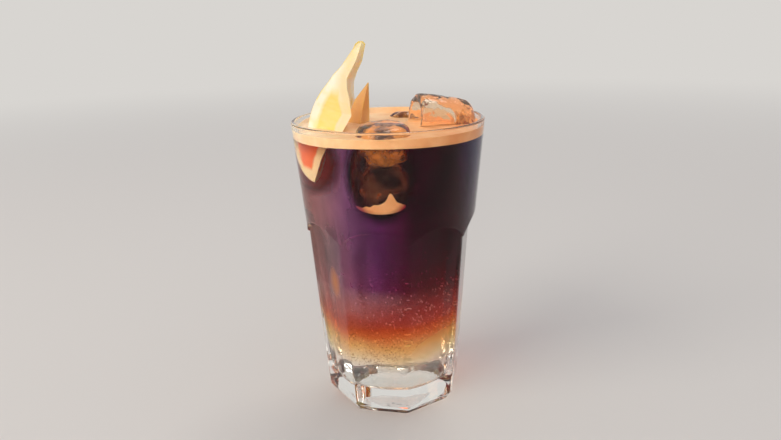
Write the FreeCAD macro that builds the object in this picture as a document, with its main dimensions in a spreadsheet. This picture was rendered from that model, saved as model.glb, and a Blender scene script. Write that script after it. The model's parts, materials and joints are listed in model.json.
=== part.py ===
"""Espresso tonic in a faceted tumbler: clear tonic below, espresso above, a layer
of crema, two lemon wedges and three hollow ice cubes.

Origin: centre of the glass's foot, on the table. +Z up, millimetres.
A bearing is an angle about Z, from -Y (the middle of one facet) towards +X.
"""

import FreeCAD, Part
import math
import os
import Sketcher

SIZES = {
    # glass
    "glass_height": 129.0,
    "rim_radius": 42.0,
    "lip_wall": 2.2,
    "waist_radius": 37.5,       # round band where the arches spring
    "foot_radius": 31.1,        # facet ridges, carried down to the table
    "facets": 8,
    "ridge_inset": 0.57,        # ridges lie this far inside the round band
    "arch_spring": 80.5,        # height where neighbouring arches meet
    "arch_rise": 6.0,
    "ledge_slope": 20.0,        # degrees, slope of the ledge over each facet
    "chamfer_in": 2.26,
    "chamfer_up": 4.0,
    "punt_radius": 20.5,
    "punt_depth": 1.5,
    "floor_thickness": 10.0,
    "floor_wall": 7.0,          # facet to cavity, level with the floor
    "floor_fillet": 3.0,
    "facet_wall": 2.0,          # facet to cavity, level with the arch tops
    "lip_round": 0.48,          # share of the lip's wall in each of its two rounds
    "blank_margin": 1.0,        # how far cuts run past the glass blank
    # drink, measured from the foot and from the rim
    "tonic_level": 38.0,
    "rim_gap": 2.8,             # rim to the top of the crema at the wall
    "crema_thickness": 4.0,
    "meniscus_rise": 0.6,
    "meniscus_run": 1.6,
    "meniscus_radius": 2.4,
    # lemon wedges, cut from lemons of one size
    "lemon_length": 59.0,
    "lemon_depth": 20.0,        # core to rind at the belly
    "lemon_gap": 0.5,           # lemon to the glass
    "lemon_front_angle": 60.0,
    "lemon_front_bearing": -45.6,
    "lemon_front_facing": 0.255,  # share of its depth that points at the wall
    "lemon_front_drop": 23.0,   # rim to the blunt end
    "lemon_front_tilt": 18.9,
    "lemon_front_lean": 117.3,  # bearing it leans towards
    "lemon_front_spin": 109.0,
    "lemon_back_angle": 42.0,
    "lemon_back_bearing": -84.8,
    "lemon_back_facing": 0.785,
    "lemon_back_drop": 45.5,
    "lemon_back_tilt": 10.0,
    "lemon_back_lean": 117.3,
    "lemon_back_spin": 109.0,
    # hollow ice
    "ice_mouth_radius": 12.3,
    "ice_crown_radius": 11.0,
    "ice_edge_round": 1.5,
    "hollow_radius": 8.3,
    "hollow_end_radius": 5.5,
    "hollow_depth": 18.0,
    "ice_wall_gap": 0.8,        # ice to the glass
    "ice_front_melt": 0.0,      # melted off all round
    "ice_front_length": 33.0,
    "ice_front_round": 4.0,
    "ice_front_bearing": 7.3,
    "ice_front_sink": 29.2,     # crema's top to the mouth
    "ice_front_tilt": -2.7,     # tilt beyond the wall's own
    "ice_front_lean": 7.3,
    "ice_right_melt": 0.0,
    "ice_right_length": 27.0,
    "ice_right_round": 8.5,
    "ice_right_bearing": 104.6,
    "ice_right_draught": 11.5,  # crema's top to its underside
    "ice_right_touch": 5.0,     # it comes nearest the wall this far below its middle
    "ice_right_nose": 0.75,     # how far its crown may reach past that point's radius
    "ice_right_tilt": 97.0,
    "ice_right_lean": 116.1,
    "ice_back_melt": 1.5,
    "ice_back_length": 30.4,
    "ice_back_round": 8.0,
    "ice_back_bearing": 176.0,
    "ice_back_sink": 28.5,
    "ice_back_tilt": 2.0,
    "ice_back_lean": 169.5,
}

# sizes that follow from the ones above
FITS = {
    "facet_foot": "sizes.foot_radius * cos(180 deg / sizes.facets)",
    "facet_top": "(sizes.waist_radius - sizes.ridge_inset) * cos(180 deg / sizes.facets)",
    "facet_growth": "(fits.facet_top - fits.facet_foot) / sizes.arch_spring",
    "facet_lean": "atan(fits.facet_growth) / 1 deg",
    "facet_half": "fits.facet_top * tan(180 deg / sizes.facets)",
    "arch_peak": "sizes.arch_spring + sizes.arch_rise",
    "arch_radius": "(fits.facet_half ^ 2 + sizes.arch_rise ^ 2) / (2 * sizes.arch_rise)",
    "cut_half": "sqrt(sizes.waist_radius ^ 2 - fits.facet_top ^ 2) + sizes.blank_margin",
    "rim_inner": "sizes.rim_radius - sizes.lip_wall",
    "peak_inner": "fits.facet_foot + fits.facet_growth * fits.arch_peak - sizes.facet_wall",
    "floor_inner": "fits.facet_foot + fits.facet_growth * sizes.floor_thickness - sizes.floor_wall",
    "wall_lean": "atan((fits.rim_inner - fits.peak_inner) / (sizes.glass_height - fits.arch_peak)) / 1 deg",
    "crema_top": "sizes.glass_height - sizes.rim_gap",
    "crema_bottom": "fits.crema_top - sizes.crema_thickness",
}


def wall_above(level):
    """Expression for the cavity's radius at a level above the arches."""
    share = f"(({level}) - fits.arch_peak) / (sizes.glass_height - fits.arch_peak)"
    return f"(fits.peak_inner + (fits.rim_inner - fits.peak_inner) * {share})"


def wall_below(level):
    """Expression for the cavity's radius at a level below the arches."""
    share = f"(({level}) - sizes.floor_thickness) / (fits.arch_peak - sizes.floor_thickness)"
    return f"(fits.floor_inner + (fits.peak_inner - fits.floor_inner) * {share})"


doc = FreeCAD.newDocument("espresso_tonic")

sheet = doc.addObject("Spreadsheet::Sheet", "sizes")
for row, (name, value) in enumerate(SIZES.items(), start=1):
    sheet.set(f"A{row}", name)
    sheet.set(f"B{row}", str(value))
    sheet.setAlias(f"B{row}", name)
doc.recompute()

fits = doc.addObject("App::VarSet", "fits")
for name in FITS:
    fits.addProperty("App::PropertyFloat", name)
for name, expression in FITS.items():
    fits.setExpression(name, expression)
doc.recompute()


def number(expression):
    """The value of an expression of sizes and fits."""
    found = fits.evalExpression(expression)
    return float(getattr(found, "Value", found))


# ---------------------------------------------------------------- sketching

def new_body(name):
    body = doc.addObject("PartDesign::Body", name)
    body.Label = name
    return body


def origin_feature(body, role):
    return next(item for item in body.Origin.OriginFeatures if item.Role == role)


def new_sketch(body, plane, name):
    sketch = body.newObject("Sketcher::SketchObject", name)
    sketch.AttachmentSupport = [(origin_feature(body, plane), "")]
    sketch.MapMode = "FlatFace"
    return sketch


def bind(sketch, constraint, expression):
    """Add a constraint whose value follows an expression."""
    index = sketch.addConstraint(Sketcher.Constraint(*constraint, number(expression)))
    sketch.setExpression(f"Constraints[{index}]", expression)


def arc_between(start, end, radius, bulge):
    """Arc from start to end whose middle lies on the side that bulge points to."""
    chord = end - start
    side = FreeCAD.Vector(-chord.y, chord.x, 0).normalize()
    if side.dot(bulge) < 0:
        side = side * -1
    rise = radius - math.sqrt(radius ** 2 - (chord.Length / 2) ** 2)
    return Part.Arc(start, (start + end) / 2 + side * rise, end)


def outline(sketch, corners, arcs=None):
    """Closed outline through corners given as pairs of expressions.

    arcs maps the number of an edge, which starts at the corner of that number,
    to its radius expression and the direction that it bulges in.
    """
    arcs = arcs or {}
    points = [FreeCAD.Vector(number(across), number(up), 0) for across, up in corners]
    ends = []
    for index, start in enumerate(points):
        end = points[(index + 1) % len(points)]
        if index not in arcs:
            ends.append((sketch.addGeometry(Part.LineSegment(start, end)), 1, 2))
            continue
        radius, bulge = arcs[index]
        arc = arc_between(start, end, number(radius), FreeCAD.Vector(*bulge, 0))
        edge = sketch.addGeometry(arc)
        starts_first = sketch.getPoint(edge, 1).distanceToPoint(start) < 1e-6
        ends.append((edge, 1, 2) if starts_first else (edge, 2, 1))
        bind(sketch, ("Radius", edge), radius)
    for index, (edge, first, last) in enumerate(ends):
        follower, follower_first, _ = ends[(index + 1) % len(ends)]
        sketch.addConstraint(Sketcher.Constraint("Coincident", edge, last, follower, follower_first))
    for (edge, first, _), (across, up) in zip(ends, corners):
        for kind, expression in (("DistanceX", across), ("DistanceY", up)):
            if expression == "0":
                axis = -2 if kind == "DistanceX" else -1
                sketch.addConstraint(Sketcher.Constraint("PointOnObject", edge, first, axis))
            else:
                bind(sketch, (kind, -1, 1, edge, first), expression)


def turned(body, kind, name, sketch, angle=None):
    """Revolution or Groove of a sketch about its upright axis."""
    feature = body.newObject(f"PartDesign::{kind}", name)
    feature.Profile = sketch
    feature.ReferenceAxis = (sketch, ["V_Axis"])
    feature.Angle = 360
    if angle:
        feature.Midplane = True
        feature.setExpression("Angle", angle)
    body.Tip = feature
    doc.recompute()
    return feature


def rounded(body, name, edges, radius):
    """Fillet of the tip's edges that pass a test."""
    base = body.Tip
    names = [f"Edge{i}" for i, edge in enumerate(base.Shape.Edges, start=1) if edges(edge)]
    feature = body.newObject("PartDesign::Fillet", name)
    feature.Base = (base, names)
    feature.setExpression("Radius", radius)
    body.Tip = feature
    doc.recompute()
    return feature


def circle_at(level, radius):
    """Test for a level round edge at a height, of about a radius."""
    def passes(edge):
        box = edge.BoundBox
        flat = box.ZLength < 1e-3 and abs(box.ZMin - level) < 1e-3
        return flat and abs(box.XMax - radius) < 0.01
    return passes


# ---------------------------------------------------------------- glass

def make_glass():
    body = new_body("glass")
    blank = new_sketch(body, "XZ_Plane", "glass_blank_outline")
    outline(blank, [
        ("0", "0"),
        ("sizes.foot_radius + sizes.blank_margin", "0"),
        ("sizes.waist_radius", "sizes.arch_spring"),
        ("sizes.rim_radius", "sizes.glass_height"),
        ("0", "sizes.glass_height"),
    ])
    turned(body, "Revolution", "glass_blank", blank)

    # one facet: an arch-topped cut on a plane that leans out with the glass
    facet_outline = new_sketch(body, "XZ_Plane", "facet_outline")
    facet_outline.AttachmentOffset = FreeCAD.Placement(
        FreeCAD.Vector(), FreeCAD.Rotation(FreeCAD.Vector(1, 0, 0), 1))
    facet_outline.setExpression("AttachmentOffset.Base.z", "fits.facet_foot")
    facet_outline.setExpression("AttachmentOffset.Rotation.Angle", "fits.facet_lean * 1 deg")
    spring = "sizes.arch_spring / cos(fits.facet_lean)"
    outline(facet_outline, [
        ("-fits.cut_half", "-sizes.blank_margin"),
        ("fits.cut_half", "-sizes.blank_margin"),
        ("fits.cut_half", spring),
        ("fits.facet_half", spring),
        ("-fits.facet_half", spring),
        ("-fits.cut_half", spring),
    ], {3: ("fits.arch_radius", (0, 1))})
    facet = body.newObject("PartDesign::Pocket", "facet")
    facet.Profile = facet_outline
    facet.Reversed = True
    facet.setExpression("Length", "sizes.rim_radius - fits.facet_foot")
    facet.setExpression("TaperAngle", "sizes.ledge_slope")
    body.Tip = facet
    doc.recompute()

    # the foot's chamfer under the same facet
    chamfer_outline = new_sketch(body, "YZ_Plane", "chamfer_outline")
    lower_edge = "fits.facet_foot - sizes.chamfer_in"
    upper_edge = "fits.facet_foot + fits.facet_growth * sizes.chamfer_up"
    outline(chamfer_outline, [
        (f"-({upper_edge})", "sizes.chamfer_up"),
        (f"-({upper_edge} + 2 * sizes.blank_margin)", "sizes.chamfer_up"),
        (f"-({upper_edge} + 2 * sizes.blank_margin)", "-sizes.chamfer_up"),
        (f"-(2 * ({lower_edge}) - ({upper_edge}))", "-sizes.chamfer_up"),
    ])
    chamfer = body.newObject("PartDesign::Pocket", "foot_chamfer")
    chamfer.Profile = chamfer_outline
    chamfer.SideType = "Symmetric"
    chamfer.setExpression("Length", "2 * fits.cut_half")
    body.Tip = chamfer
    doc.recompute()

    facets = body.newObject("PartDesign::PolarPattern", "facets_and_chamfers")
    facets.Originals = [facet, chamfer]
    facets.Axis = (origin_feature(body, "Z_Axis"), [""])
    facets.Angle = 360
    facets.setExpression("Occurrences", "sizes.facets")
    body.Tip = facets
    doc.recompute()

    cavity = new_sketch(body, "XZ_Plane", "cavity_outline")
    outline(cavity, [
        ("0", "sizes.floor_thickness"),
        ("fits.floor_inner", "sizes.floor_thickness"),
        ("fits.peak_inner", "fits.arch_peak"),
        ("fits.rim_inner", "sizes.glass_height"),
        ("fits.rim_inner", "sizes.glass_height + sizes.blank_margin"),
        ("0", "sizes.glass_height + sizes.blank_margin"),
    ])
    turned(body, "Groove", "cavity", cavity)

    punt = new_sketch(body, "XZ_Plane", "punt_outline")
    outline(punt, [
        ("0", "-sizes.blank_margin"),
        ("sizes.punt_radius", "-sizes.blank_margin"),
        ("sizes.punt_radius", "0"),
        ("sizes.punt_radius - sizes.punt_depth", "sizes.punt_depth"),
        ("0", "sizes.punt_depth"),
    ])
    turned(body, "Groove", "punt", punt)

    floor_edge = circle_at(number("sizes.floor_thickness"), number("fits.floor_inner"))
    rounded(body, "floor_round", floor_edge, "sizes.floor_fillet")
    inner_lip = circle_at(number("sizes.glass_height"), number("fits.rim_inner"))
    outer_lip = circle_at(number("sizes.glass_height"), number("sizes.rim_radius"))
    rounded(body, "lip", lambda edge: inner_lip(edge) or outer_lip(edge),
            "sizes.lip_wall * sizes.lip_round")
    return body


# ---------------------------------------------------------------- lemon

def make_wedge(name):
    """Lengthwise lemon wedge: its core edge up Z, its blunt end at the origin."""
    body = new_body(name)
    sketch = new_sketch(body, "XZ_Plane", f"{name}_outline")
    sketch.AttachmentOffset = FreeCAD.Placement(
        FreeCAD.Vector(), FreeCAD.Rotation(FreeCAD.Vector(0, 1, 0), 1))
    sketch.setExpression("AttachmentOffset.Rotation.Angle", f"sizes.{name}_spin * 1 deg")

    length = number("sizes.lemon_length")
    depth = number("sizes.lemon_depth")
    centre = FreeCAD.Vector(0, depth, 0)
    tip = FreeCAD.Vector(0, length, 0)
    shoulder_angle = math.asin(depth / (length - depth))
    shoulder = centre + FreeCAD.Vector(math.cos(shoulder_angle), math.sin(shoulder_angle), 0) * depth
    belly_circle = Part.Circle(centre, FreeCAD.Vector(0, 0, 1), depth)
    belly = sketch.addGeometry(Part.ArcOfCircle(belly_circle, -math.pi / 2, shoulder_angle))
    taper = sketch.addGeometry(Part.LineSegment(shoulder, tip))
    core = sketch.addGeometry(Part.LineSegment(tip, FreeCAD.Vector()))
    bind(sketch, ("Radius", belly), "sizes.lemon_depth")
    sketch.addConstraint(Sketcher.Constraint("PointOnObject", belly, 3, -2))
    sketch.addConstraint(Sketcher.Constraint("Tangent", belly, 2, taper, 1))
    sketch.addConstraint(Sketcher.Constraint("Coincident", taper, 2, core, 1))
    sketch.addConstraint(Sketcher.Constraint("PointOnObject", core, 1, -2))
    bind(sketch, ("DistanceY", -1, 1, core, 1), "sizes.lemon_length")
    sketch.addConstraint(Sketcher.Constraint("Coincident", core, 2, -1, 1))
    sketch.addConstraint(Sketcher.Constraint("Coincident", core, 2, belly, 1))
    turned(body, "Revolution", f"{name}_flesh", sketch, f"sizes.{name}_angle")

    level = f"sizes.glass_height - sizes.{name}_drop"
    wall = wall_above(f"{level} + sizes.lemon_depth")
    out = f"{wall} - sizes.lemon_gap - sizes.{name}_facing * sizes.lemon_depth"
    place(body, name, out, level, f"sizes.{name}_tilt")
    return body


# ---------------------------------------------------------------- ice

def make_ice(name):
    """Hollow ice cube: its open mouth at the origin, its crown up Z."""
    body = new_body(name)
    block = new_sketch(body, "XZ_Plane", f"{name}_outline")
    length = f"sizes.{name}_length"
    mouth_radius = f"sizes.ice_mouth_radius - sizes.{name}_melt"
    crown_radius = f"sizes.ice_crown_radius - sizes.{name}_melt"
    outline(block, [
        ("0", "0"),
        (mouth_radius, "0"),
        (crown_radius, length),
        ("0", length),
    ])
    turned(body, "Revolution", f"{name}_block", block)

    hollow = new_sketch(body, "XZ_Plane", f"{name}_hollow_outline")
    shoulder = "sizes.hollow_depth - sizes.hollow_end_radius"
    outline(hollow, [
        ("0", "-sizes.blank_margin"),
        ("sizes.hollow_radius", "-sizes.blank_margin"),
        ("sizes.hollow_radius", "0"),
        ("sizes.hollow_end_radius", shoulder),
        ("0", "sizes.hollow_depth"),
    ], {3: ("sizes.hollow_end_radius", (1, 1))})
    turned(body, "Groove", f"{name}_hollow", hollow)

    crown = circle_at(number(length), number(crown_radius))
    rounded(body, f"{name}_crown_round", crown, f"sizes.{name}_round")
    mouth = circle_at(0, number(mouth_radius))
    rounded(body, f"{name}_mouth_round", mouth, "sizes.ice_edge_round")
    return body


def place(body, name, out, level, tilt):
    """Set a piece at its bearing, its distance out and its level, and lean it over."""
    bearing = f"sizes.{name}_bearing * 1 deg"
    lean = f"sizes.{name}_lean * 1 deg"
    body.Placement = FreeCAD.Placement(
        FreeCAD.Vector(), FreeCAD.Rotation(FreeCAD.Vector(0, 1, 0), 1))
    body.setExpression("Placement.Base.x", f"({out}) * sin({bearing})")
    body.setExpression("Placement.Base.y", f"-({out}) * cos({bearing})")
    body.setExpression("Placement.Base.z", level)
    body.setExpression("Placement.Rotation.Axis.x", f"cos({lean})")
    body.setExpression("Placement.Rotation.Axis.y", f"sin({lean})")
    body.setExpression("Placement.Rotation.Axis.z", "0")
    body.setExpression("Placement.Rotation.Angle", f"({tilt}) * 1 deg")
    doc.recompute()


def stand_ice(body, name):
    """An upright cube that leans with the wall, its mouth's edge just clear of it."""
    level = f"fits.crema_top - sizes.{name}_sink"
    radius = f"(sizes.ice_mouth_radius - sizes.{name}_melt)"
    out = f"{wall_above(level)} - {radius} - sizes.ice_wall_gap"
    place(body, name, out, level, f"fits.wall_lean + sizes.{name}_tilt")


def lay_ice(body, name):
    """A floating cube on its side, its crown just clear of the wall."""
    underside = f"fits.crema_top - sizes.{name}_draught"
    level = f"{underside} + sizes.ice_mouth_radius - sizes.{name}_melt"
    wall = wall_above(f"{level} - sizes.{name}_touch")
    out = f"{wall} - sizes.{name}_length + sizes.{name}_nose - sizes.ice_wall_gap"
    place(body, name, out, level, f"sizes.{name}_tilt")


# ---------------------------------------------------------------- drink

def make_tonic():
    body = new_body("tonic")
    sketch = new_sketch(body, "XZ_Plane", "tonic_outline")
    outline(sketch, [
        ("0", "sizes.floor_thickness"),
        ("fits.floor_inner", "sizes.floor_thickness"),
        (wall_below("sizes.tonic_level"), "sizes.tonic_level"),
        ("0", "sizes.tonic_level"),
    ])
    turned(body, "Revolution", "tonic_fill", sketch)
    floor_edge = circle_at(number("sizes.floor_thickness"), number("fits.floor_inner"))
    rounded(body, "tonic_floor_round", floor_edge, "sizes.floor_fillet")
    return body


def make_espresso_fill():
    body = new_body("espresso_fill")
    sketch = new_sketch(body, "XZ_Plane", "espresso_outline")
    outline(sketch, [
        ("0", "sizes.tonic_level"),
        (wall_below("sizes.tonic_level"), "sizes.tonic_level"),
        ("fits.peak_inner", "fits.arch_peak"),
        (wall_above("fits.crema_bottom"), "fits.crema_bottom"),
        ("0", "fits.crema_bottom"),
    ])
    turned(body, "Revolution", "espresso_column", sketch)
    return body


def make_crema_fill():
    """Foam with a level top that curls up to the wall."""
    body = new_body("crema_fill")
    sketch = new_sketch(body, "XZ_Plane", "crema_outline")
    wall = wall_above("fits.crema_top")
    outline(sketch, [
        ("0", "fits.crema_bottom"),
        (wall_above("fits.crema_bottom"), "fits.crema_bottom"),
        (wall, "fits.crema_top"),
        (f"{wall} - sizes.meniscus_run", "fits.crema_top - sizes.meniscus_rise"),
        ("0", "fits.crema_top - sizes.meniscus_rise"),
    ], {2: ("sizes.meniscus_radius", (1, -1))})
    turned(body, "Revolution", "crema_layer", sketch)
    return body


def cut_round(name, fill, garnish):
    """A layer of drink without the room that the garnish takes."""
    room = doc.addObject("Part::Compound", f"{name}_garnish")
    room.Links = garnish
    layer = doc.addObject("Part::Cut", name)
    layer.Base = fill
    layer.Tool = room
    layer.Label = name
    return layer


# ---------------------------------------------------------------- the whole

glass = make_glass()
lemon_front = make_wedge("lemon_front")
lemon_back = make_wedge("lemon_back")
ice_front = make_ice("ice_front")
stand_ice(ice_front, "ice_front")
ice_right = make_ice("ice_right")
lay_ice(ice_right, "ice_right")
ice_back = make_ice("ice_back")
stand_ice(ice_back, "ice_back")
garnish = [lemon_front, lemon_back, ice_front, ice_right, ice_back]

tonic = make_tonic()
espresso = cut_round("espresso", make_espresso_fill(), garnish)
crema = cut_round("crema", make_crema_fill(), garnish)
doc.recompute()

for item in doc.Objects:
    if "Invalid" in item.State or "Error" in item.State:
        raise RuntimeError(f"{item.Name} did not compute: {item.State}")

nodes = [glass, tonic, espresso, crema] + garnish
os.makedirs("parts", exist_ok=True)
for node in nodes:
    shape = node.Shape
    if shape.isNull() or not shape.isValid():
        raise RuntimeError(f"{node.Label} has no valid shape")
    shape.exportStep(f"parts/{node.Label}.step")
    print(f"{node.Label}: {len(shape.Solids)} solid, {shape.Volume / 1000:.1f} cm3")
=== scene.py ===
# %% [markdown]
# # A glass of espresso tonic
# This notebook dresses a measured model of an iced espresso tonic. The measured
# model is the frame: it says where each piece is and how big it is. Every step
# below makes one piece or one finish, and says how and why.

# %% Load the frame
import bpy
import json
import math
import random
from mathutils import Matrix, Vector, noise

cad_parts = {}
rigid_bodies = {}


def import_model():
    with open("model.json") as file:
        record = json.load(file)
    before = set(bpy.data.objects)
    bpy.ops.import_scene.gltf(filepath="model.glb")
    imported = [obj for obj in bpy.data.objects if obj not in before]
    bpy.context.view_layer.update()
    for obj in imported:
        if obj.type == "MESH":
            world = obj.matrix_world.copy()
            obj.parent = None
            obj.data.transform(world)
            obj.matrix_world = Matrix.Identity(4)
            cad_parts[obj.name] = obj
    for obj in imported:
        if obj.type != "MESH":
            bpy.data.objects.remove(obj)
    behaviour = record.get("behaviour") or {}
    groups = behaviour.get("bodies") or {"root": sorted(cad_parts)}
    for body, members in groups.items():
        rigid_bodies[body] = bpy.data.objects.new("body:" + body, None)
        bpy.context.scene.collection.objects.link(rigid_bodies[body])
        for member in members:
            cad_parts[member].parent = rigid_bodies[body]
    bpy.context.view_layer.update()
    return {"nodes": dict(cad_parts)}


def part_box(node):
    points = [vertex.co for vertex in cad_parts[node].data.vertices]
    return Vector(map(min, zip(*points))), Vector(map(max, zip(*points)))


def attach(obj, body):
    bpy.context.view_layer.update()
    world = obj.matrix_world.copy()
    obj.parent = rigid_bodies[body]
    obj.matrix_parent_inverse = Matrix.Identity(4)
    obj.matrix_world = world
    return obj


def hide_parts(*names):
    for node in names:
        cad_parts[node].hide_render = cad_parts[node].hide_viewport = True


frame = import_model()
MM = 0.001
SHOWN = bpy.context.scene.collection.objects

# %% [markdown]
# ## Sizes read from the frame
# The heights of the glass, its floor and the foam come from the frame's boxes,
# so that the looks follow if the frame changes. The other sizes describe the
# pressed glass itself. They are in millimetres, and a shape is scaled to metres
# once, when its points are placed.

# %% Sizes in millimetres
RIM_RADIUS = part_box("glass")[1].x / MM
GLASS_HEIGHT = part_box("glass")[1].z / MM
FLOOR_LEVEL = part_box("tonic")[0].z / MM
FOAM_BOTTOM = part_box("crema")[0].z / MM
FOAM_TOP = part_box("crema")[1].z / MM
WAIST_RADIUS = 37.5
FOOT_RADIUS = 31.1
LIP_WALL = 2.2
WALL_AT_ARCH = 2.0
WALL_AT_FLOOR = 7.0
RIDGE_INSET = 0.57
BAND_ROUND = 0.5
FACETS = 8
ARCH_SPRING = 80.5
ARCH_RISE = 6.0
LEDGE_SLOPE = math.radians(20)
CHAMFER_IN = 2.26
CHAMFER_UP = 4.0
PUNT_RADIUS = 20.5
PUNT_DEPTH = 1.5
FLOOR_FILLET = 3.0
FACET_STEP = 2 * math.pi / FACETS
FACET_FOOT = FOOT_RADIUS * math.cos(FACET_STEP / 2)
FACET_TOP = (WAIST_RADIUS - RIDGE_INSET) * math.cos(FACET_STEP / 2)
FACET_HALF = FACET_TOP * math.tan(FACET_STEP / 2)
ARCH_PEAK = ARCH_SPRING + ARCH_RISE
ARCH_RADIUS = (FACET_HALF ** 2 + ARCH_RISE ** 2) / (2 * ARCH_RISE)
print("glass", round(GLASS_HEIGHT, 1), "mm tall, rim radius", round(RIM_RADIUS, 1))

# %% [markdown]
# ## The shape of the wall
# A tumbler like this is pressed in a mould. Its outside is a round cone with
# eight flat facets cut into it, each ending in an arch with a small ledge. The
# inside is pressed by a smooth round plunger. Writing both as formulas of height
# and bearing gives one truth that the glass, the drink and the foam all share.
# A bearing is measured from the middle of the front facet.

# %% The inner and outer wall
def blend(low, high, share):
    return low + (high - low) * share


def inner_radius(level):
    """Radius of the smooth inside of the glass at a level."""
    peak_inner = blend(FACET_FOOT, FACET_TOP, ARCH_PEAK / ARCH_SPRING) - WALL_AT_ARCH
    floor_inner = blend(FACET_FOOT, FACET_TOP, FLOOR_LEVEL / ARCH_SPRING) - WALL_AT_FLOOR
    if level < ARCH_PEAK:
        share = (level - FLOOR_LEVEL) / (ARCH_PEAK - FLOOR_LEVEL)
        return blend(floor_inner, peak_inner, share)
    share = (level - ARCH_PEAK) / (GLASS_HEIGHT - ARCH_PEAK)
    return blend(peak_inner, RIM_RADIUS - LIP_WALL, share)


def soft_min(first, second, width):
    """The smaller of two lengths, rounded where they cross."""
    overlap = max(width - abs(first - second), 0) / width
    return min(first, second) - overlap ** 2 * width / 4


def off_facet(bearing):
    """Angle from the middle of the nearest facet."""
    return (bearing + FACET_STEP / 2) % FACET_STEP - FACET_STEP / 2


def facet_distance(level):
    """Distance from the axis to a facet's plane."""
    if level < CHAMFER_UP:
        at_chamfer = blend(FACET_FOOT, FACET_TOP, CHAMFER_UP / ARCH_SPRING)
        return blend(FACET_FOOT - CHAMFER_IN, at_chamfer, level / CHAMFER_UP)
    return blend(FACET_FOOT, FACET_TOP, level / ARCH_SPRING)


def ridge_factor(bearing):
    """How much further out than the facet's middle its surface is, ridges rounded."""
    sharpness = 90
    total = 0
    for facet in range(FACETS):
        total += max(math.cos(bearing - facet * FACET_STEP), 0) ** sharpness
    return total ** (-1 / sharpness)


def arch_level(bearing):
    """Height of the arch's edge over a bearing."""
    across = FACET_TOP * math.tan(off_facet(bearing))
    return ARCH_PEAK - ARCH_RADIUS + math.sqrt(max(ARCH_RADIUS ** 2 - across ** 2, 0))


def band_radius(level):
    """Radius of the round band above the arches, and of its cone below them."""
    share = (level - ARCH_SPRING) / (GLASS_HEIGHT - ARCH_SPRING)
    return blend(WAIST_RADIUS, RIM_RADIUS, share)


def outer_radius(bearing, level):
    """Radius of the outside: facet, then ledge, then the round band."""
    over_arch = max(level - arch_level(bearing), 0)
    cut = (facet_distance(level) + over_arch / math.tan(LEDGE_SLOPE)) * ridge_factor(bearing)
    if level < ARCH_SPRING - 4:
        return cut
    return soft_min(cut, band_radius(level), BAND_ROUND)


print("wall at the foam:", round(RIM_RADIUS - inner_radius(FOAM_BOTTOM), 2), "mm")

# %% [markdown]
# ## Skins through rings
# Round pieces are drawn as a stack of rings, like a potter's coils. In Blender a
# circle is extruded again and again, and each ring is then set in its place. A
# ring of radius 0 closes the end, and its points are merged into one.

# %% Helpers that pick and edit
def pick(piece):
    """Select this piece alone."""
    bpy.ops.object.select_all(action="DESELECT")
    piece.select_set(True)
    bpy.context.view_layer.objects.active = piece


def edit_all():
    bpy.ops.object.mode_set(mode="EDIT")
    bpy.ops.mesh.select_all(action="SELECT")


def leave_edit():
    bpy.ops.object.mode_set(mode="OBJECT")


# %% A helper that makes a closed skin
def enclosed(mesh):
    """Volume inside a closed skin, below 0 where its faces point inwards."""
    mesh.calc_loop_triangles()
    volume = 0
    for triangle in mesh.loop_triangles:
        first, second, third = [mesh.vertices[index].co for index in triangle.vertices]
        volume += first.dot(second.cross(third)) / 6
    return volume


def skin(name, rings, columns, place, charts=()):
    """A closed skin of rings; place(ring, bearing) gives a point in millimetres.

    Numbers that place gives after the point are kept on the mesh under charts' names.
    """
    bpy.ops.object.select_all(action="DESELECT")
    bpy.ops.mesh.primitive_circle_add(vertices=columns, radius=1, fill_type="NOTHING")
    piece = bpy.context.object
    piece.name = piece.data.name = name
    edit_all()
    for _ in range(rings - 1):
        bpy.ops.mesh.extrude_region_move(TRANSFORM_OT_translate={"value": (0, 0, 1)})
    leave_edit()
    kept = [piece.data.attributes.new(chart, "FLOAT", "POINT").name for chart in charts]
    for vertex in piece.data.vertices:
        bearing = math.atan2(vertex.co.x, -vertex.co.y)
        facts = place(round(vertex.co.z), bearing)
        vertex.co = Vector(facts[:3]) * MM
        for chart, value in zip(kept, facts[3:]):
            piece.data.attributes[chart].data[vertex.index].value = value
    edit_all()
    bpy.ops.mesh.remove_doubles(threshold=0.0001 * MM)
    bpy.ops.mesh.normals_make_consistent(inside=False)
    leave_edit()
    if enclosed(piece.data) < 0:
        edit_all()
        bpy.ops.mesh.flip_normals()
        leave_edit()
    return piece


def smooth(piece, angle=35):
    pick(piece)
    bpy.ops.object.shade_smooth_by_angle(angle=math.radians(angle))


def on_circle(radius, level, bearing):
    return (radius * math.sin(bearing), -radius * math.cos(bearing), level)


# %% [markdown]
# ## Colours and nodes
# Colours are written as the hex values that a painter would read off a swatch,
# and one function turns them to the linear values that Blender mixes with. One
# small function adds a node, its settings and its links.

# %% Colour and node helpers
def linear(swatch):
    """Linear colour from an sRGB hex value such as 'c08040'."""
    parts = [int(swatch[i:i + 2], 16) / 255 for i in (0, 2, 4)]
    return [p / 12.92 if p <= 0.04045 else ((p + 0.055) / 1.055) ** 2.4 for p in parts] + [1]


def node(tree, kind, inputs=None, stops=None, **settings):
    """A shader node; inputs maps its sockets to values, sockets or nodes, for their first output.

    stops fills a colour ramp, and the settings are the node's own.
    """
    made = tree.nodes.new("ShaderNode" + kind)
    for name, value in settings.items():
        setattr(made, name, value)
    for index, (position, colour) in enumerate(stops or []):
        elements = made.color_ramp.elements
        stop = elements[index] if index < 2 else elements.new(position)
        stop.position, stop.color = position, colour
    for key, value in (inputs or {}).items():
        if isinstance(value, bpy.types.Node):
            value = value.outputs[0]
        if isinstance(value, bpy.types.NodeSocket):
            tree.links.new(value, made.inputs[key])
        else:
            made.inputs[key].default_value = value
    return made


def new_finish(name):
    material = bpy.data.materials.new(name)
    material.use_nodes = True
    material.node_tree.nodes.clear()
    return material, material.node_tree


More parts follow.
